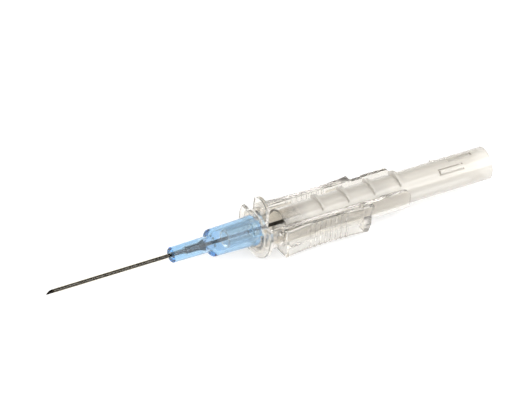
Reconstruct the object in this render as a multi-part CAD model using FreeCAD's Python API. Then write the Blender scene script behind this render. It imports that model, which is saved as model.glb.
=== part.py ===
# Safety intravenous cannula with a sliding needle guard, ready for use.
# Millimetres.  The long axis runs along X with the needle tip at -X, +Z is up
# and the piece is symmetric about the XZ plane.  Stations are measured from the
# front face of the catheter hub and heights from the axis of the guard tube;
# the last step moves everything so that the origin is the middle of the
# underside of the bounding box.
import FreeCAD
import Part
import math
import os

V = FreeCAD.Vector
X_AXIS = V(1, 0, 0)

# Clearances between pieces, radial or per side.
SLIDE_GAP = 0.08
NEEDLE_GAP = 0.02
SEAT_GAP = 0.015
FACE_GAP = 0.05
INNER_GAP = 0.3

# The needle runs above the axis of the guard tube.
NEEDLE_HEIGHT = 0.75

# Needle, 22 gauge.
NEEDLE_R = 0.355
NEEDLE_BORE_R = 0.205
BEVEL_LENGTH = 1.5
LANCET_LENGTH = 0.75
LANCET_TURN = 32.0
TIP_SHOW = 1.5
NEEDLE_PAST_BOSS = 1.2

# Catheter tube.
TUBE_EXPOSED = 26.8
TUBE_WALL = 0.075
TUBE_TIP_WALL = 0.03
TUBE_TAPER = 2.6
TUBE_FLARE = 0.7
TUBE_BORE_R = NEEDLE_R + NEEDLE_GAP
TUBE_R = TUBE_BORE_R + TUBE_WALL
TUBE_FRONT = -TUBE_EXPOSED
NEEDLE_TIP = TUBE_FRONT - TIP_SHOW

# Catheter hub: a slim nose and a wider luer body.
HUB_NOSE_LENGTH = 8.62
HUB_NOSE_WALL = 0.425
HUB_NOSE_TAPER = 0.1
HUB_NOSE_EDGE = 0.12
HUB_BODY_LENGTH = 9.68
HUB_BODY_WALL = 0.6
HUB_BODY_TAPER = 0.17
HUB_SHOULDER_ROUND = 0.55
HUB_SHOULDER_BEVELS = 3
HUB_RIM_LENGTH = 0.7
HUB_RIM_STEP = 0.1
HUB_REAR = HUB_NOSE_LENGTH + HUB_BODY_LENGTH
LUG_HEIGHT = 0.93
LUG_LENGTH = 1.6
LUG_HALF_ANGLE = 23.0
LUG_TURN = 138.0
LUG_ROOT = 0.3

# Steel wedge that spreads the tube in the nose of the hub.
WEDGE_SETBACK = 1.52
WEDGE_LENGTH = 4.0
WEDGE_CONE_LENGTH = 1.2
WEDGE_WALL = 0.16
WEDGE_CLEAR = 0.125
WEDGE_FLARE = 0.36
WEDGE_BORE_R = TUBE_BORE_R + WEDGE_CLEAR
WEDGE_R = WEDGE_BORE_R + WEDGE_WALL
WEDGE_REAR = HUB_NOSE_LENGTH - WEDGE_SETBACK
WEDGE_CONE = WEDGE_REAR - WEDGE_CONE_LENGTH
WEDGE_FRONT = WEDGE_REAR - WEDGE_LENGTH

# Luer taper shared by the catheter hub and the nose of the guard.
LUER_MOUTH_R = 2.15
LUER_SLOPE = 0.03
NOSE_LENGTH = 6.3
NOSE_CLEAR = 1.9
NOSE_BORE_R = 1.3
NOSE_FRONT = HUB_REAR - NOSE_LENGTH
LUER_FRONT = NOSE_FRONT - NOSE_CLEAR

# Outside radii of the hub.
HUB_NOSE_R = WEDGE_R + WEDGE_FLARE + TUBE_WALL + 2 * SEAT_GAP + HUB_NOSE_WALL
HUB_BODY_R = LUER_MOUTH_R + HUB_BODY_WALL
HUB_REAR_R = HUB_BODY_R + HUB_BODY_TAPER
LUG_R = HUB_REAR_R + LUG_HEIGHT

# Guard: collar, flange and finger tab.
COLLAR_FRONT = HUB_REAR + FACE_GAP
COLLAR_STAND = 0.46
COLLAR_STEP = 0.25
COLLAR_EDGE = 0.15
COLLAR_LENGTH = 0.95
COLLAR_R = LUG_R + COLLAR_STEP
FLANGE_R = 5.73
FLANGE_THICK = 0.9
FLANGE_TOP = 3.1
FLANGE_EDGE = 0.15
FOOT_CUT = 0.12
FOOT_DEPTH = FLANGE_R - NEEDLE_HEIGHT - FOOT_CUT
FLANGE_FRONT = COLLAR_FRONT + COLLAR_STAND
FLANGE_REAR = FLANGE_FRONT + FLANGE_THICK
TAB_THICK = 0.9
TAB_PROUD = 0.69
TAB_HALF_WIDTH = 2.4
TAB_CORNER = 6.65
TAB_DOME = 1.05
TAB_EDGE = 0.15
TAB_REAR = FLANGE_REAR + TAB_PROUD

# Guard tube.
GUARD_R = 3.3
GUARD_WALL = 0.45
GUARD_LENGTH = 50.89
GUARD_BORE_R = GUARD_R - GUARD_WALL
GUARD_REAR = FLANGE_REAR + GUARD_LENGTH
SLOT_SETBACK = 2.29
SLOT_END_WALL = 2.6
SLOT_FRONT = FLANGE_REAR + SLOT_SETBACK
SLOT_REAR = GUARD_REAR - SLOT_END_WALL
MOUTH_LENGTH = 1.4
MOUTH_STEP = 0.15
WINDOW_LENGTH = 3.8
WINDOW_FLOOR = 1.0
RIB_SETBACK = 13.09
RIB_PITCH = 5.84
RIB_COUNT = 4
RIB_LENGTH = 0.75
RIB_END_LENGTH = 0.25
RIB_HALF_WIDTH = 2.35
TOP_SLOT_LENGTH = 5.4
TOP_SLOT_END = 3.2
TOP_SLOT_HALF_WIDTH = 0.45
TONGUE_LENGTH = 5.5
TONGUE_END = 6.0
TONGUE_LOW = 42.0
TONGUE_HIGH = 65.0
TONGUE_CUT = 0.3
BARB_HEIGHT = 0.2
BARB_LENGTH = 1.2
TONGUE_FRONT = GUARD_REAR - TONGUE_END - TONGUE_LENGTH

# Needle housing: open trough with a blade on its floor.
TROUGH_WALL = 0.74
TROUGH_LENGTH = 31.84
TROUGH_BORE_R = GUARD_R + SLIDE_GAP
TROUGH_R = TROUGH_BORE_R + TROUGH_WALL
TROUGH_FRONT = FLANGE_REAR + FACE_GAP
TROUGH_REAR = TROUGH_FRONT + TROUGH_LENGTH
RIM_HEIGHT = 2.5
RIM_END_ROUND = 1.6
BLADE_HALF = 0.8
BLADE_LENGTH = 1.8
BLADE_SETBACK = 4.64
BLADE_TOP = -1.25
BLADE_FRONT = TROUGH_FRONT + BLADE_SETBACK
BLADE_REAR = BLADE_FRONT + BLADE_LENGTH
PORT_SETBACK = 1.64
PORT_LENGTH = 1.2
PORT_HEIGHT = 0.9
PORT_DROP = 0.6
NOTCH_LENGTH = 2.3
NOTCH_DEPTH = 0.25
NOTCH_SETBACK = 0.1

# Side grips; the reaches past the trough are at the front, middle and rear.
GRIP_SETBACK = 3.14
GRIP_LENGTH = 19.7
GRIP_RISE = 0.72
GRIP_WALL = 0.75
GRIP_SHELF_DROP = 0.2
GRIP_LIP = 0.7
GRIP_GROOVE_HEIGHT = 0.1
GRIP_CREASE_HEIGHT = -1.4
GRIP_SHELF_REACH = (1.33, 0.66, 1.2)
GRIP_GROOVE_REACH = (1.3, 0.6, 1.0)
GRIP_CREASE_REACH = (1.73, 0.88, 1.55)
GRIP_TUCK = 0.2
GRIP_SLANT = 1.0
GRIP_STEPS = 6
GRIP_FRONT = TROUGH_FRONT + GRIP_SETBACK
GRIP_REAR = GRIP_FRONT + GRIP_LENGTH
GRIP_BOTTOM = GRIP_RISE - TROUGH_R
RIDGE_SETBACK = 5.6
RIDGE_PITCH = 1.16
RIDGE_COUNT = 8
RIDGE_LENGTH = 0.34
RIDGE_HEIGHT = 0.22
RIDGE_DROP = 0.15

# Needle hub: boss, flash chamber and the keel that sits on the blade.
CHAMBER_WALL = 0.4
CHAMBER_LENGTH = 18.5
CHAMBER_SETBACK = 2.8
CHAMBER_R = GUARD_BORE_R - NEEDLE_HEIGHT - INNER_GAP
CHAMBER_BORE_R = CHAMBER_R - CHAMBER_WALL
CHAMBER_FRONT = BLADE_REAR + CHAMBER_SETBACK
CHAMBER_REAR = CHAMBER_FRONT + CHAMBER_LENGTH
BOSS_SETBACK = 1.4
BOSS_WALL = 0.45
BOSS_TAPER = 0.1
BOSS_CONE = 0.5
BOSS_LENGTH = 1.6
WELL_R = 0.85
WELL_DEPTH = 1.3
BOSS_FRONT = BLADE_FRONT + BOSS_SETBACK
NEEDLE_REAR = CHAMBER_FRONT + NEEDLE_PAST_BOSS
KEEL_WALL = 0.5
KEEL_END_WALL = 0.6
KEEL_OVERLAP = 0.6
KEEL_TOP = 0.05
KEEL_HALF = BLADE_HALF + KEEL_WALL
KEEL_BOTTOM = -math.sqrt((GUARD_BORE_R - INNER_GAP) ** 2 - KEEL_HALF ** 2)

# Vent in the rear end of the flash chamber.
CAP_SPIGOT = 1.4
CAP_FLANGE = 0.7
CAP_WALL = 0.535
CAP_LIP = 0.3
CAP_EDGE = 0.15
FILTER_LENGTH = 1.0
CAP_R = CHAMBER_BORE_R - SEAT_GAP
CAP_BORE_R = CAP_R - CAP_WALL
CAP_FRONT = CHAMBER_REAR - CAP_SPIGOT
FILTER_REAR = CAP_FRONT + FILTER_LENGTH + CAP_EDGE / 2

# How far a cut runs past what it cuts, and the middle of the whole length.
PAST = 1.0
FAR = 2 * FLANGE_R
MIDDLE = (GUARD_REAR + NEEDLE_TIP) / 2.0


def rod(front, rear, radius, height=0.0):
    return Part.makeCylinder(radius, rear - front, V(front, 0, height), X_AXIS)


def pipe(front, rear, outer, inner, height=0.0):
    return rod(front, rear, outer, height).cut(rod(front - PAST, rear + PAST, inner, height))


def block(front, rear, left, right, low, high):
    return Part.makeBox(rear - front, right - left, high - low, V(front, left, low))


def turned(profile, height=0.0):
    """Solid of revolution about the X direction; profile is (station, radius)."""
    points = [V(x, 0, height + r) for x, r in profile]
    wire = Part.makePolygon(points + [points[0]])
    return Part.Face(wire).revolve(V(0, 0, height), X_AXIS, 360)


def plate(outline, front, rear):
    """Flat outline of (y, z) points given a thickness along X."""
    points = [V(front, y, z) for y, z in outline]
    wire = Part.makePolygon(points + [points[0]])
    return Part.Face(wire).extrude(V(rear - front, 0, 0))


def mirrored(shape):
    return shape.mirror(V(0, 0, 0), V(0, 1, 0))


def both_sides(shape):
    return [shape, mirrored(shape)]


def ring_edges(shape, station, radius):
    """Full circular edges of one radius at one station."""
    found = []
    for edge in shape.Edges:
        box = edge.BoundBox
        flat = box.XLength < 1e-6 and abs(box.XMin - station) < 1e-4
        if flat and hasattr(edge.Curve, "Radius") and abs(edge.Curve.Radius - radius) < 1e-4:
            found.append(edge)
    return found


def sector(front, rear, low, high, height=0.0):
    """Pie slice about an axis along X between two angles from +Y."""
    outline = [(0, height)]
    for angle in (low, (low + high) / 2, high):
        turn = math.radians(angle)
        outline.append((FAR * math.cos(turn), height + FAR * math.sin(turn)))
    return plate(outline, front, rear)


def needle():
    body = pipe(NEEDLE_TIP, NEEDLE_REAR, NEEDLE_R, NEEDLE_BORE_R, NEEDLE_HEIGHT)
    body = body.cut(bevel(2 * NEEDLE_R, BEVEL_LENGTH))
    for turn in (-LANCET_TURN, LANCET_TURN):
        facet = bevel(1.25 * NEEDLE_R, LANCET_LENGTH)
        facet.rotate(V(NEEDLE_TIP, 0, NEEDLE_HEIGHT), X_AXIS, turn)
        body = body.cut(facet)
    return body


def bevel(rise, run):
    """Block over a slope that climbs back from the lowest point of the tip."""
    heel = V(NEEDLE_TIP, 0, NEEDLE_HEIGHT - NEEDLE_R)
    front = NEEDLE_TIP - BEVEL_LENGTH
    cutter = block(front, NEEDLE_TIP + 4 * BEVEL_LENGTH, -PAST, PAST, heel.z, heel.z + 4 * PAST)
    cutter.rotate(heel, V(0, 1, 0), -math.degrees(math.atan2(rise, run)))
    return cutter


def catheter_tube():
    wedge_seat = WEDGE_R + SEAT_GAP
    rear_seat = wedge_seat + WEDGE_FLARE
    flare = WEDGE_FRONT - TUBE_FLARE
    outside = [
        (TUBE_FRONT, TUBE_BORE_R + TUBE_TIP_WALL), (TUBE_FRONT + TUBE_TAPER, TUBE_R),
        (flare, TUBE_R), (WEDGE_FRONT, wedge_seat + TUBE_WALL),
        (WEDGE_CONE, wedge_seat + TUBE_WALL), (WEDGE_REAR, rear_seat + TUBE_WALL),
    ]
    inside = [
        (WEDGE_REAR, rear_seat), (WEDGE_CONE, wedge_seat), (WEDGE_FRONT, wedge_seat),
        (flare, TUBE_BORE_R), (TUBE_FRONT, TUBE_BORE_R),
    ]
    return turned(outside + inside, NEEDLE_HEIGHT)


def catheter_wedge():
    front = WEDGE_FRONT + FACE_GAP
    return turned([
        (front, WEDGE_R), (WEDGE_CONE, WEDGE_R), (WEDGE_REAR, WEDGE_R + WEDGE_FLARE),
        (WEDGE_REAR, WEDGE_BORE_R + WEDGE_FLARE), (WEDGE_CONE, WEDGE_BORE_R), (front, WEDGE_BORE_R),
    ], NEEDLE_HEIGHT)


def luer_radius(station):
    return LUER_MOUTH_R - LUER_SLOPE * (HUB_REAR - station)


def catheter_hub():
    body = hub_outside().cut(hub_bore())
    for turn in (LUG_TURN, LUG_TURN + 180.0):
        body = body.fuse(luer_lug(turn))
    return body.removeSplitter()


def hub_outside():
    rim = HUB_REAR - HUB_RIM_LENGTH
    joint = HUB_NOSE_LENGTH + PAST
    nose = turned([
        (0, 0), (0, HUB_NOSE_R), (joint, HUB_NOSE_R + HUB_NOSE_TAPER), (joint, 0),
    ], NEEDLE_HEIGHT)
    nose = nose.makeChamfer(HUB_NOSE_EDGE, ring_edges(nose, 0, HUB_NOSE_R))
    body = turned([(HUB_NOSE_LENGTH, 0)] + hub_shoulder() + [(rim, HUB_REAR_R), (rim, 0)], NEEDLE_HEIGHT)
    edge = rod(rim, HUB_REAR, HUB_REAR_R + HUB_RIM_STEP, NEEDLE_HEIGHT)
    return nose.fuse([body, edge])


def hub_shoulder():
    """Front edge of the luer body, rounded off by a few bevels."""
    points = []
    for i in range(HUB_SHOULDER_BEVELS + 1):
        turn = math.pi / 2 * i / HUB_SHOULDER_BEVELS
        points.append((HUB_NOSE_LENGTH + HUB_SHOULDER_ROUND * (1 - math.sin(turn)),
                       HUB_BODY_R - HUB_SHOULDER_ROUND * (1 - math.cos(turn))))
    return points[::-1]


def hub_bore():
    """Tube passage, seat of the flared tube and the luer taper behind it."""
    tube_seat = WEDGE_R + TUBE_WALL + 2 * SEAT_GAP
    cone_seat = tube_seat + WEDGE_FLARE
    flare = WEDGE_FRONT - TUBE_FLARE
    return turned([
        (-PAST, 0), (-PAST, TUBE_R + NEEDLE_GAP), (flare, TUBE_R + NEEDLE_GAP),
        (WEDGE_FRONT, tube_seat), (WEDGE_CONE, tube_seat), (WEDGE_REAR, cone_seat),
        (HUB_NOSE_LENGTH, cone_seat + TUBE_WALL), (LUER_FRONT, luer_radius(LUER_FRONT)),
        (HUB_REAR, LUER_MOUTH_R), (HUB_REAR + PAST, LUER_MOUTH_R), (HUB_REAR + PAST, 0),
    ], NEEDLE_HEIGHT)


def luer_lug(turn):
    """One of the two ears that a locking connector turns onto."""
    front = HUB_REAR - LUG_LENGTH
    ring = pipe(front, HUB_REAR, LUG_R, HUB_REAR_R - LUG_ROOT, NEEDLE_HEIGHT)
    slice_ = sector(front - PAST, HUB_REAR + PAST, turn - LUG_HALF_ANGLE, turn + LUG_HALF_ANGLE,
                    NEEDLE_HEIGHT)
    return ring.common(slice_)


def guard_nose():
    """Male taper that the catheter hub sits on."""
    neck = COLLAR_FRONT + COLLAR_STAND
    return turned([
        (NOSE_FRONT, 0), (NOSE_FRONT, luer_radius(NOSE_FRONT) - NEEDLE_GAP),
        (HUB_REAR, LUER_MOUTH_R - NEEDLE_GAP), (neck, LUER_MOUTH_R - NEEDLE_GAP), (neck, 0),
    ], NEEDLE_HEIGHT)


def flange():
    """Round plate with a flat top and a narrow flat to lie on."""
    disc = rod(FLANGE_FRONT, FLANGE_REAR, FLANGE_R, NEEDLE_HEIGHT)
    rims = ring_edges(disc, FLANGE_FRONT, FLANGE_R) + ring_edges(disc, FLANGE_REAR, FLANGE_R)
    disc = disc.makeChamfer(FLANGE_EDGE, rims)
    return disc.common(block(FLANGE_FRONT, FLANGE_REAR, -FAR, FAR, -FOOT_DEPTH, FLANGE_TOP))


def collar():
    """Ring with a bevelled edge in front of the flange."""
    rear = COLLAR_FRONT + COLLAR_LENGTH
    ring = rod(COLLAR_FRONT, rear, COLLAR_R, NEEDLE_HEIGHT)
    return ring.makeChamfer(COLLAR_EDGE, ring_edges(ring, COLLAR_FRONT, COLLAR_R))


def tab():
    """Finger tab with a domed top edge."""
    front = TAB_REAR - TAB_THICK
    radius = (TAB_HALF_WIDTH ** 2 + TAB_DOME ** 2) / (2 * TAB_DOME)
    top = TAB_CORNER + TAB_DOME
    slab = block(front, TAB_REAR, -TAB_HALF_WIDTH, TAB_HALF_WIDTH, 0, top)
    lower = block(front, TAB_REAR, -TAB_HALF_WIDTH, TAB_HALF_WIDTH, 0, TAB_CORNER)
    shape = slab.common(rod(front, TAB_REAR, radius, top - radius).fuse(lower)).removeSplitter()
    edges = [e for e in shape.Edges if e.BoundBox.XLength < 1e-6 and e.BoundBox.ZMax > FLANGE_TOP]
    return shape.makeChamfer(TAB_EDGE, edges)


def guard_ribs():
    """Crescent steps for the fingertip along the top of the guard."""
    ribs = []
    for i in range(RIB_COUNT):
        middle = FLANGE_REAR + RIB_SETBACK + i * RIB_PITCH
        disc = rod(middle - RIB_LENGTH, middle + RIB_LENGTH, GUARD_R, NEEDLE_HEIGHT)
        ribs.append(disc.common(lens(middle)))
    return ribs


def lens(middle):
    """Upright prism, thick in the middle and thin at both sides."""
    end = RIB_END_LENGTH / 2
    half = RIB_LENGTH / 2
    wide = RIB_HALF_WIDTH
    front = Part.Arc(V(middle - end, -wide, 0), V(middle - half, 0, 0), V(middle - end, wide, 0))
    rear = Part.Arc(V(middle + end, wide, 0), V(middle + half, 0, 0), V(middle + end, -wide, 0))
    left = Part.makeLine(V(middle - end, wide, 0), V(middle + end, wide, 0))
    right = Part.makeLine(V(middle + end, -wide, 0), V(middle - end, -wide, 0))
    wire = Part.Wire([front.toShape(), left, rear.toShape(), right])
    return Part.Face(wire).extrude(V(0, 0, FAR))


def tongue_cut():
    """Slit round three sides of a locking tongue that is free at the front."""
    spread = math.degrees(TONGUE_CUT / GUARD_R)
    rear = TONGUE_FRONT + TONGUE_LENGTH
    wall = pipe(TONGUE_FRONT, rear, GUARD_R + PAST, GUARD_BORE_R - PAST)
    whole = wall.common(sector(TONGUE_FRONT - PAST, rear + PAST, TONGUE_LOW, TONGUE_HIGH))
    kept = sector(TONGUE_FRONT + TONGUE_CUT, rear + PAST, TONGUE_LOW + spread, TONGUE_HIGH - spread)
    return whole.cut(kept)


def tongue_barb():
    """Low ramp on the free end of a locking tongue."""
    spread = math.degrees(TONGUE_CUT / GUARD_R) + 1
    start = TONGUE_FRONT + TONGUE_CUT
    root = GUARD_R - GUARD_WALL / 4
    ring = turned([
        (start, root), (start, GUARD_R + BARB_HEIGHT),
        (start + BARB_LENGTH, GUARD_R), (start + BARB_LENGTH, root),
    ])
    rear = start + BARB_LENGTH + PAST
    return ring.common(sector(start - PAST, rear, TONGUE_LOW + spread, TONGUE_HIGH - spread))


def guard_tube():
    tube = rod(FLANGE_FRONT + FLANGE_EDGE, GUARD_REAR, GUARD_R)
    tube = tube.fuse(guard_ribs())
    half = BLADE_HALF + SLIDE_GAP
    top_rear = GUARD_REAR - TOP_SLOT_END
    cuts = [
        rod(FLANGE_REAR, GUARD_REAR + PAST, GUARD_BORE_R),
        rod(GUARD_REAR - MOUTH_LENGTH, GUARD_REAR + PAST, GUARD_BORE_R + MOUTH_STEP),
        block(SLOT_FRONT, SLOT_REAR, -half, half, -FAR, 0),
        block(TAB_REAR, TAB_REAR + WINDOW_LENGTH, -FAR, FAR, WINDOW_FLOOR, FAR),
        block(top_rear - TOP_SLOT_LENGTH, top_rear, -TOP_SLOT_HALF_WIDTH, TOP_SLOT_HALF_WIDTH, 0, FAR),
    ]
    return tube.cut(cuts + both_sides(tongue_cut())).fuse(both_sides(tongue_barb()))


def needle_guard():
    body = flange().fuse([collar(), guard_nose(), guard_tube(), tab()])
    body = body.cut(rod(NOSE_FRONT - PAST, FLANGE_REAR + FACE_GAP, NOSE_BORE_R, NEEDLE_HEIGHT))
    body = body.cut(rod(FLANGE_REAR, TAB_REAR + PAST, GUARD_BORE_R))
    return body.removeSplitter()


def channel():
    """Space inside the trough, open at the top and at both ends."""
    front = TROUGH_FRONT - PAST
    rear = TROUGH_REAR + PAST
    space = rod(front, rear, TROUGH_BORE_R)
    return space.fuse(block(front, rear, -TROUGH_BORE_R, TROUGH_BORE_R, 0, FAR))


def trough():
    """Open-topped channel with a half-round floor and rounded rear corners."""
    outer = rod(TROUGH_FRONT, TROUGH_REAR, TROUGH_R)
    outer = outer.common(block(TROUGH_FRONT, TROUGH_REAR, -FAR, FAR, -FAR, 0))
    outer = outer.fuse(block(TROUGH_FRONT, TROUGH_REAR, -TROUGH_R, TROUGH_R, 0, RIM_HEIGHT))
    outer = outer.removeSplitter()
    corners = [e for e in outer.Edges if at_rear_corner(e.BoundBox)]
    return outer.makeFillet(RIM_END_ROUND, corners).cut(channel())


def at_rear_corner(box):
    across = box.YLength > 1.99 * TROUGH_R
    return across and box.ZMin > RIM_HEIGHT - 1e-3 and box.XMin > TROUGH_REAR - 1e-3


def reach_at(station, front, middle, rear):
    """Sideways reach of a hollowed grip face at one station."""
    t = (station - GRIP_FRONT) / GRIP_LENGTH
    ends = front + (rear - front) * t
    dip = (front + rear) / 2 - middle
    return TROUGH_R + ends - dip * (1 - (2 * t - 1) ** 2)


def grip_section(station, inset, high):
    """Outline of a grip across the axis: shelf, lip, groove, crease and skirt."""
    shelf = reach_at(station, *GRIP_SHELF_REACH) - inset
    groove = reach_at(station, *GRIP_GROOVE_REACH) - inset
    crease = reach_at(station, *GRIP_CREASE_REACH) - inset
    root = TROUGH_R - TROUGH_WALL / 2
    foot = math.sqrt(TROUGH_R ** 2 - GRIP_BOTTOM ** 2) + TROUGH_WALL / 10
    points = [
        (root, high), (shelf, high), (shelf, high - GRIP_LIP), (groove, GRIP_GROOVE_HEIGHT),
        (crease, GRIP_CREASE_HEIGHT), (crease - GRIP_TUCK, GRIP_BOTTOM), (foot, GRIP_BOTTOM),
        (root, 0),
    ]
    return Part.makePolygon([V(station, y, z) for y, z in points + [points[0]]])


def grip_body(inset, high):
    stations = [GRIP_FRONT + GRIP_LENGTH * i / GRIP_STEPS for i in range(GRIP_STEPS + 1)]
    return Part.makeLoft([grip_section(x, inset, high) for x in stations], True, False)


def behind_grip(shelf):
    """Space behind the rear end of a grip, which leans back towards its top."""
    lean = GRIP_SLANT / (shelf - GRIP_BOTTOM)
    top = (GRIP_REAR + lean * PAST, shelf + PAST)
    foot = (GRIP_REAR - GRIP_SLANT - lean * PAST, GRIP_BOTTOM - PAST)
    far = GRIP_REAR + 2 * PAST
    corners = [top, foot, (far, foot[1]), (far, top[1]), top]
    return Part.Face(Part.makePolygon([V(x, 0, z) for x, z in corners])).extrude(V(0, FAR, 0))


def grip():
    """Side grip, hollow from below, with upright ridges for the fingers."""
    shelf = RIM_HEIGHT - GRIP_SHELF_DROP
    cavity_rear = GRIP_REAR - GRIP_SLANT - GRIP_WALL
    ends = block(GRIP_FRONT + GRIP_WALL, cavity_rear, 0, FAR, -FAR, FAR)
    cavity = grip_body(GRIP_WALL, shelf - GRIP_WALL).common(ends)
    raised = grip_body(-RIDGE_HEIGHT, shelf - RIDGE_DROP)
    ridges = []
    for i in range(RIDGE_COUNT):
        front = GRIP_FRONT + RIDGE_SETBACK + i * RIDGE_PITCH
        ridges.append(raised.common(block(front, front + RIDGE_LENGTH, TROUGH_R, FAR, -FAR, FAR)))
    return grip_body(0.0, shelf).fuse(ridges).cut([cavity, behind_grip(shelf)])


def needle_housing():
    body = trough()
    for side in both_sides(grip().cut(channel())):
        body = body.fuse(side)
    port_top = RIM_HEIGHT - PORT_DROP
    port = TROUGH_FRONT + PORT_SETBACK
    notch = GRIP_REAR + NOTCH_SETBACK
    body = body.cut([
        block(port, port + PORT_LENGTH, -FAR, FAR, port_top - PORT_HEIGHT, port_top),
        block(notch, notch + NOTCH_LENGTH, -FAR, FAR, RIM_HEIGHT - NOTCH_DEPTH, FAR),
    ])
    root = -TROUGH_BORE_R - TROUGH_WALL / 2
    blade = block(BLADE_FRONT, BLADE_REAR, -BLADE_HALF, BLADE_HALF, root, BLADE_TOP)
    return body.fuse(blade).removeSplitter()


def needle_hub():
    """Clear hub that holds the needle and fills with the first blood."""
    cone = BOSS_FRONT + BOSS_LENGTH
    boss_r = WELL_R + BOSS_WALL
    body = turned([
        (BOSS_FRONT, 0), (BOSS_FRONT, boss_r), (cone, boss_r + BOSS_TAPER),
        (cone + BOSS_CONE, CHAMBER_R), (CHAMBER_REAR, CHAMBER_R), (CHAMBER_REAR, 0),
    ], NEEDLE_HEIGHT)
    keel = block(BLADE_FRONT - KEEL_END_WALL, CHAMBER_FRONT + KEEL_OVERLAP, -KEEL_HALF, KEEL_HALF,
                 KEEL_BOTTOM, KEEL_TOP)
    chamber = turned([
        (CHAMBER_FRONT, 0), (CHAMBER_FRONT, CHAMBER_BORE_R / 2),
        (CHAMBER_FRONT + CHAMBER_BORE_R / 2, CHAMBER_BORE_R),
        (CHAMBER_REAR + PAST, CHAMBER_BORE_R), (CHAMBER_REAR + PAST, 0),
    ], NEEDLE_HEIGHT)
    well = rod(BOSS_FRONT - PAST, BOSS_FRONT + WELL_DEPTH, WELL_R, NEEDLE_HEIGHT)
    passage = rod(BOSS_FRONT, CHAMBER_FRONT + PAST, NEEDLE_R + SEAT_GAP, NEEDLE_HEIGHT)
    half = BLADE_HALF + SEAT_GAP
    socket = block(BLADE_FRONT - SEAT_GAP, BLADE_REAR + SEAT_GAP, -half, half, -FAR, BLADE_TOP + SEAT_GAP)
    return body.fuse(keel).cut([chamber, well, passage, socket]).removeSplitter()


def needle_adhesive():
    """Cured bead with a sunken face in the well round the needle."""
    inner = NEEDLE_R + SEAT_GAP
    outer = WELL_R - SEAT_GAP
    rear = BOSS_FRONT + WELL_DEPTH - SEAT_GAP
    hollow = BOSS_FRONT + FACE_GAP
    return turned([
        (BOSS_FRONT, inner), (BOSS_FRONT, inner + FACE_GAP), (hollow + FACE_GAP, (inner + outer) / 2),
        (hollow, outer), (rear, outer), (rear, inner),
    ], NEEDLE_HEIGHT)


def vent_cap():
    face = CHAMBER_REAR + SEAT_GAP
    rear = face + CAP_FLANGE
    rim_r = CHAMBER_R - CAP_EDGE / 2
    return turned([
        (CAP_FRONT, CAP_BORE_R), (CAP_FRONT, CAP_R - CAP_EDGE), (CAP_FRONT + CAP_EDGE, CAP_R),
        (face, CAP_R), (face, rim_r), (rear - CAP_EDGE, rim_r), (rear, rim_r - CAP_EDGE),
        (rear, CAP_BORE_R - CAP_LIP), (FILTER_REAR + SEAT_GAP, CAP_BORE_R - CAP_LIP),
        (FILTER_REAR + SEAT_GAP, CAP_BORE_R),
    ], NEEDLE_HEIGHT)


def vent_filter():
    return rod(FILTER_REAR - FILTER_LENGTH, FILTER_REAR, CAP_BORE_R - SEAT_GAP, NEEDLE_HEIGHT)


PIECES = {
    "catheter_hub": catheter_hub,
    "catheter_tube": catheter_tube,
    "catheter_wedge": catheter_wedge,
    "needle": needle,
    "needle_adhesive": needle_adhesive,
    "needle_guard": needle_guard,
    "needle_housing": needle_housing,
    "needle_hub": needle_hub,
    "vent_cap": vent_cap,
    "vent_filter": vent_filter,
}


def main():
    os.makedirs("parts", exist_ok=True)
    for name, make in PIECES.items():
        shape = make()
        if len(shape.Solids) == 1:
            shape = shape.Solids[0]
        shape.translate(V(-MIDDLE, 0, FOOT_DEPTH))
        box = shape.BoundBox
        print(name, shape.ShapeType, shape.isValid(), len(shape.Solids), round(shape.Volume, 2),
              [round(v, 2) for v in (box.XMin, box.XMax, box.YMin, box.YMax, box.ZMin, box.ZMax)])
        shape.exportStep("parts/" + name + ".step")


main()
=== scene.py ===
import bpy
from mathutils import Matrix, Vector

# All lengths are in metres.
CLEAR_TRANSMISSION = 0.97
COAT_ROUGHNESS = 0.04
SCUFF_ROUGHNESS = 0.06
DRAWN_ROUGHNESS = 0.05

FLOOR_HALF = 3.0
FLOOR_GREY = 0.6
FLOOR_GLOW = 0.6

ROOM_LIGHT = (1.0, 0.985, 0.96, 1)
ROOM_STRENGTH = 0.68
# What shows in and through the clear pieces, from the table's level up to the ceiling.
TABLE_END = (0.05, (1, 1, 1, 1))
WALLS = (
    (0.18, (0.75, 0.72, 0.67, 1)),
    (0.42, (0.62, 0.59, 0.55, 1)),
    (0.6, (0.05, 0.048, 0.045, 1)),
    (0.78, (0.5, 0.485, 0.46, 1)),
)
CEILING = (1.0, (2.0, 1.95, 1.86, 1))

# Orthographic view fitted to the photograph; the span is the picture's width.
CAMERA_RIGHT = (0.8468, -0.5251, 0.0845)
CAMERA_UP = (0.2582, 0.5448, 0.7979)
CAMERA_CENTRE = (-0.004469, -0.004132, 0.014079)
CAMERA_SPAN = 0.0994
CAMERA_DISTANCE = 0.5

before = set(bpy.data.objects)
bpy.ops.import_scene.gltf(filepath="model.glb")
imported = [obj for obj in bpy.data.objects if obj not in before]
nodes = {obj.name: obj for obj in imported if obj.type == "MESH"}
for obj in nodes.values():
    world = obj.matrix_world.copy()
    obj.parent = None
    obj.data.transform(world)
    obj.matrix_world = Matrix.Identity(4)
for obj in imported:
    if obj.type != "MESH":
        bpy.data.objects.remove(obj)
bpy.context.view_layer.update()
scene = bpy.context.scene
scene.view_settings.view_transform = "Standard"
scene.cycles.max_bounces = 32
scene.cycles.glossy_bounces = 24
scene.cycles.transmission_bounces = 24


def new_material(name):
    mat = bpy.data.materials.new(name)
    mat.use_nodes = True
    tree = mat.node_tree
    return mat, tree, tree.nodes["Principled BSDF"]


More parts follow.
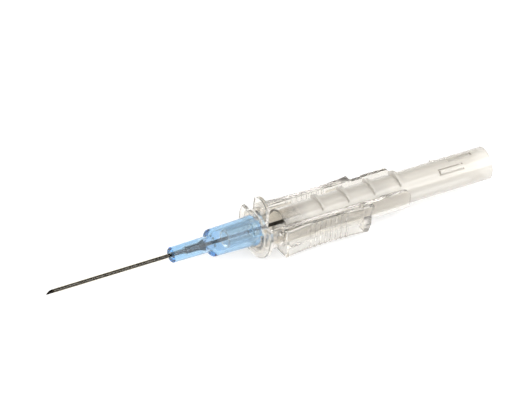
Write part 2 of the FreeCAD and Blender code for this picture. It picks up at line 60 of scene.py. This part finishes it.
def object_noise(tree, scale, detail, stretch=(1, 1, 1)):
    """Noise in the part's own coordinates, with the scale per metre."""
    coords = tree.nodes.new("ShaderNodeTexCoord")
    mapping = tree.nodes.new("ShaderNodeMapping")
    mapping.inputs["Scale"].default_value = stretch
    noise = tree.nodes.new("ShaderNodeTexNoise")
    noise.inputs["Scale"].default_value = scale
    noise.inputs["Detail"].default_value = detail
    tree.links.new(coords.outputs["Object"], mapping.inputs["Vector"])
    tree.links.new(mapping.outputs["Vector"], noise.inputs["Vector"])
    return noise.outputs["Fac"]


def add_bump(tree, shader, source, depth, strength):
    bump = tree.nodes.new("ShaderNodeBump")
    bump.inputs["Distance"].default_value = depth
    bump.inputs["Strength"].default_value = strength
    tree.links.new(source, bump.inputs["Height"])
    tree.links.new(bump.outputs["Normal"], shader.inputs["Normal"])


def tone(tree, shader, source, low, high):
    """Base colour from one shade to another with the noise."""
    ramp = tree.nodes.new("ShaderNodeValToRGB")
    first, last = ramp.color_ramp.elements
    first.position, first.color = 0.35, (*low, 1)
    last.position, last.color = 0.65, (*high, 1)
    tree.links.new(source, ramp.inputs["Fac"])
    tree.links.new(ramp.outputs["Color"], shader.inputs["Base Color"])


def map_to(tree, source, taken, given, target):
    """Drive a socket by a source, from the range taken to the range given."""
    level = tree.nodes.new("ShaderNodeMapRange")
    level.inputs["From Min"].default_value = taken[0]
    level.inputs["From Max"].default_value = taken[1]
    level.inputs["To Min"].default_value = given[0]
    level.inputs["To Max"].default_value = given[1]
    tree.links.new(source, level.inputs["Value"])
    tree.links.new(level.outputs["Result"], target)


def haze_behind(tree, shader, front, rear, haze):
    """Clear up to one place along the needle and hazy behind another."""
    coords = tree.nodes.new("ShaderNodeTexCoord")
    split = tree.nodes.new("ShaderNodeSeparateXYZ")
    tree.links.new(coords.outputs["Object"], split.inputs["Vector"])
    map_to(tree, split.outputs["X"], (front, rear), (CLEAR_TRANSMISSION, 1.0 - haze),
           shader.inputs["Transmission Weight"])


def clear_plastic(name, tint, tint_dark, rough, ior=1.5, haze=0.0, hazy_from=None,
                  density=0.0, absorb=(1, 1, 1), flow=0.000004, coat=0.8):
    """Clear plastic: haze under a glossy skin, with flow waves and fine scuffs."""
    mat, tree, shader = new_material(name)
    if hazy_from:
        haze_behind(tree, shader, *hazy_from, haze)
    flow_waves = object_noise(tree, 350.0, 2.0, (0.35, 1, 1))
    tone(tree, shader, flow_waves, tint_dark, tint)
    add_bump(tree, shader, flow_waves, flow, 0.6)
    scuffs = object_noise(tree, 2600.0, 4.0, (0.2, 1, 1))
    map_to(tree, scuffs, (0.35, 0.75), (rough, rough + SCUFF_ROUGHNESS),
           shader.inputs["Roughness"])
    shader.inputs["Transmission Weight"].default_value = 1.0 - haze
    shader.inputs["IOR"].default_value = ior
    shader.inputs["Coat Weight"].default_value = coat
    shader.inputs["Coat Roughness"].default_value = COAT_ROUGHNESS
    if density > 0:
        volume = tree.nodes.new("ShaderNodeVolumeAbsorption")
        volume.inputs["Color"].default_value = (*absorb, 1)
        volume.inputs["Density"].default_value = density
        out = tree.nodes["Material Output"]
        tree.links.new(volume.outputs["Volume"], out.inputs["Volume"])
    return mat


def drawn_steel(name, low, high, rough):
    """Drawn tube: long fine draw lines along the axis."""
    mat, tree, shader = new_material(name)
    lines = object_noise(tree, 26000.0, 2.0, (0.004, 1, 1))
    tone(tree, shader, lines, low, high)
    shader.inputs["Metallic"].default_value = 1.0
    map_to(tree, lines, (0.0, 1.0), (rough, rough + DRAWN_ROUGHNESS),
           shader.inputs["Roughness"])
    add_bump(tree, shader, lines, 0.0000006, 0.5)
    return mat


def porous_plastic(name, low, high):
    mat, tree, shader = new_material(name)
    grain = object_noise(tree, 6000.0, 4.0)
    tone(tree, shader, grain, low, high)
    shader.inputs["Roughness"].default_value = 0.85
    add_bump(tree, shader, grain, 0.00003, 0.7)
    return mat


def dress_all():
    materials = {
        "needle_guard": clear_plastic(
            "guard_moulded", (0.925, 0.895, 0.84), (0.905, 0.875, 0.82), 0.04,
            haze=0.42, hazy_from=(0.003, 0.009)),
        "needle_housing": clear_plastic(
            "housing_moulded", (0.955, 0.93, 0.885), (0.94, 0.915, 0.865), 0.04, haze=0.05),
        "needle_hub": clear_plastic(
            "inner_moulded", (0.99, 0.985, 0.97), (0.98, 0.97, 0.955), 0.04, haze=0.03),
        # The low refraction indices keep the needle's line thin inside the hub and the tube.
        "catheter_hub": clear_plastic(
            "hub_blue_moulded", (0.74, 0.85, 0.965), (0.71, 0.82, 0.95), 0.03, ior=1.33,
            haze=0.05, density=300.0, absorb=(0.2, 0.65, 0.88), flow=0.0000012, coat=0.3),
        "catheter_tube": clear_plastic(
            "tube_extruded", (0.94, 0.895, 0.78), (0.915, 0.865, 0.74), 0.02, ior=1.34,
            flow=0.0000004, coat=0.0),
        "needle_adhesive": clear_plastic(
            "adhesive_bead", (0.95, 0.94, 0.88), (0.9, 0.88, 0.8), 0.12, haze=0.1),
        "vent_cap": clear_plastic(
            "cap_moulded", (0.93, 0.92, 0.89), (0.88, 0.87, 0.84), 0.3, haze=0.5),
        # The needle's steel is painted almost black: painted shade in place of the dark
        # surroundings it reflects. The tone between its two colours is random draw lines.
        "needle": drawn_steel(
            "needle_steel_drawn_painted_dark", (0.01, 0.0088, 0.0072), (0.028, 0.0245, 0.02), 0.08),
        # The wedge's steel is painted nearly black: painted shade in place of the dark look that
        # reflections and shade give it inside the hub.
        "catheter_wedge": drawn_steel(
            "wedge_steel_drawn_painted_dark", (0.003, 0.003, 0.003), (0.008, 0.007, 0.007), 0.4),
        "vent_filter": porous_plastic("filter_porous", (0.72, 0.72, 0.7), (0.92, 0.92, 0.9)),
    }
    for node, material in materials.items():
        slots = nodes[node].data.materials
        slots.clear()
        slots.append(material)


def seen_ray(tree):
    """One for the rays that show the background: camera, glossy and transmission rays."""
    path = tree.nodes.new("ShaderNodeLightPath")
    total = path.outputs["Is Camera Ray"]
    for name in ("Is Glossy Ray", "Is Transmission Ray"):
        either = tree.nodes.new("ShaderNodeMath")
        either.operation = "MAXIMUM"
        tree.links.new(total, either.inputs[0])
        tree.links.new(path.outputs[name], either.inputs[1])
        total = either.outputs["Value"]
    return total


def make_floor():
    """A pale floor that shows white and keeps the object's shadow."""
    mesh = bpy.data.meshes.new("floor")
    corners = [(x * FLOOR_HALF, y * FLOOR_HALF, 0) for x, y in ((-1, -1), (1, -1), (1, 1), (-1, 1))]
    mesh.from_pydata(corners, [], [(0, 1, 2, 3)])
    floor = bpy.data.objects.new("floor", mesh)
    scene.collection.objects.link(floor)
    mat = bpy.data.materials.new("floor_pale")
    mat.use_nodes = True
    tree = mat.node_tree
    tree.nodes.clear()
    out = tree.nodes.new("ShaderNodeOutputMaterial")
    diffuse = tree.nodes.new("ShaderNodeBsdfDiffuse")
    diffuse.inputs["Color"].default_value = (FLOOR_GREY, FLOOR_GREY, FLOOR_GREY, 1)
    glow = tree.nodes.new("ShaderNodeEmission")
    glow.inputs["Color"].default_value = (1, 1, 1, 1)
    lift = tree.nodes.new("ShaderNodeMath")
    lift.operation = "MULTIPLY"
    lift.inputs[1].default_value = FLOOR_GLOW
    tree.links.new(seen_ray(tree), lift.inputs[0])
    tree.links.new(lift.outputs["Value"], glow.inputs["Strength"])
    both = tree.nodes.new("ShaderNodeAddShader")
    tree.links.new(diffuse.outputs["BSDF"], both.inputs[0])
    tree.links.new(glow.outputs["Emission"], both.inputs[1])
    tree.links.new(both.outputs["Shader"], out.inputs["Surface"])
    mesh.materials.append(mat)


def make_world():
    """Soft light all round, and a white table, grey walls and a bright ceiling to be seen."""
    world = bpy.data.worlds.new("studio")
    scene.world = world
    world.use_nodes = True
    tree = world.node_tree
    tree.nodes.clear()
    out = tree.nodes.new("ShaderNodeOutputWorld")
    coords = tree.nodes.new("ShaderNodeTexCoord")
    split = tree.nodes.new("ShaderNodeSeparateXYZ")
    tree.links.new(coords.outputs["Generated"], split.inputs["Vector"])
    room = tree.nodes.new("ShaderNodeValToRGB")
    stops = room.color_ramp.elements
    for stop, (place, color) in zip(stops, (TABLE_END, CEILING)):
        stop.position, stop.color = place, color
    for place, color in WALLS:
        stops.new(place).color = color
    tree.links.new(split.outputs["Z"], room.inputs["Fac"])
    shown = tree.nodes.new("ShaderNodeBackground")
    tree.links.new(room.outputs["Color"], shown.inputs["Color"])
    light = tree.nodes.new("ShaderNodeBackground")
    light.inputs["Color"].default_value = ROOM_LIGHT
    light.inputs["Strength"].default_value = ROOM_STRENGTH
    mix = tree.nodes.new("ShaderNodeMixShader")
    tree.links.new(seen_ray(tree), mix.inputs["Fac"])
    tree.links.new(light.outputs["Background"], mix.inputs[1])
    tree.links.new(shown.outputs["Background"], mix.inputs[2])
    tree.links.new(mix.outputs["Shader"], out.inputs["Surface"])


def place_facing(obj, right, up, back, place):
    """Put a camera or lamp at a place, with its axes along the three directions."""
    rows = [(right[i], up[i], back[i], place[i]) for i in range(3)]
    obj.matrix_world = Matrix((*rows, (0, 0, 0, 1)))
    scene.collection.objects.link(obj)


def soft_box(name, place, size_along, size_up, power):
    """A rectangular lamp that faces the origin, with its first side along the needle."""
    data = bpy.data.lights.new(name, "AREA")
    data.shape = "RECTANGLE"
    data.size = size_along
    data.size_y = size_up
    data.energy = power
    back = Vector(place).normalized()
    along = (Vector((1, 0, 0)) - back * back.x).normalized()
    place_facing(bpy.data.objects.new(name, data), along, back.cross(along), back, place)


def make_camera():
    """Long-lens view from the front right and above, as in the photograph."""
    right = Vector(CAMERA_RIGHT).normalized()
    back = right.cross(Vector(CAMERA_UP)).normalized()
    data = bpy.data.cameras.new("camera")
    data.type = "ORTHO"
    data.ortho_scale = CAMERA_SPAN
    data.clip_start = 0.01
    data.clip_end = 10
    camera = bpy.data.objects.new("camera", data)
    place = Vector(CAMERA_CENTRE) + back * CAMERA_DISTANCE
    place_facing(camera, right, back.cross(right), back, place)
    scene.camera = camera


dress_all()
make_floor()
make_world()
make_camera()
soft_box("key", (0.395, -0.568, 0.494), 0.8, 0.75, 4.4)
soft_box("fill", (-0.5, -0.3, 0.5), 0.5, 0.5, 2.0)
